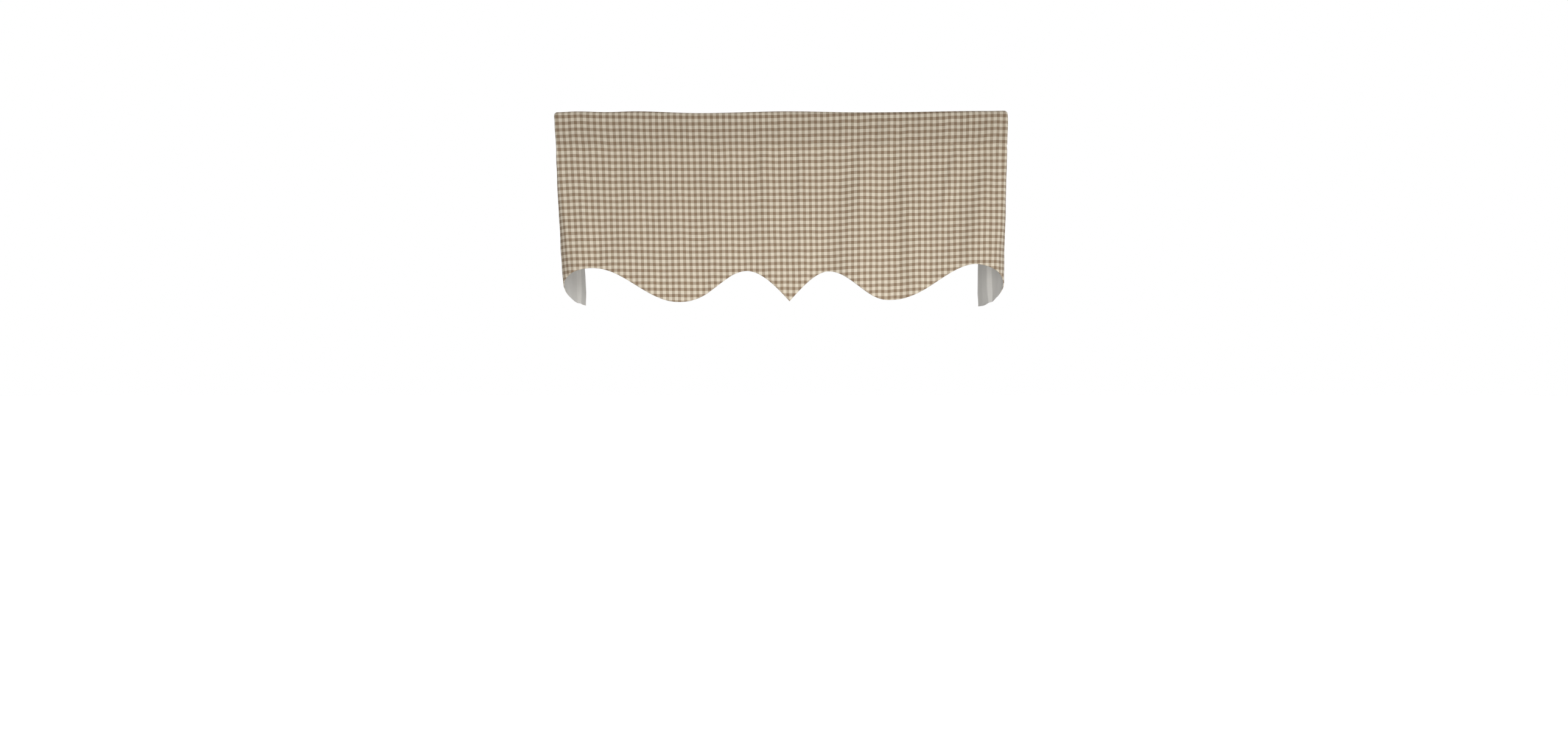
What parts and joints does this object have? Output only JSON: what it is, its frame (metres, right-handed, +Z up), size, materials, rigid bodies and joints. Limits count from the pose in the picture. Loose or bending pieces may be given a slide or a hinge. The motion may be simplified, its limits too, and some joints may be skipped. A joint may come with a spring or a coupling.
{
  "type": "window valance",
  "caption": "Lined rod-pocket window valance of woven gingham, with a scalloped lower edge and a short return at each end, shown as it hangs.",
  "frame": {"origin": "middle of the top edge, halfway through the depth of the pocket", "axes": "+X along the window, to the right of someone in the room. +Y points to the wall. +Z up."},
  "size_m": [1.0505, 0.1409, 0.436],
  "materials": {
    "gingham": "matt, plain woven",
    "lining": "matt, plain woven"
  },
  "bodies": {
    "root": {"face": "gingham", "lining": "lining"}
  },
  "joints": []
}
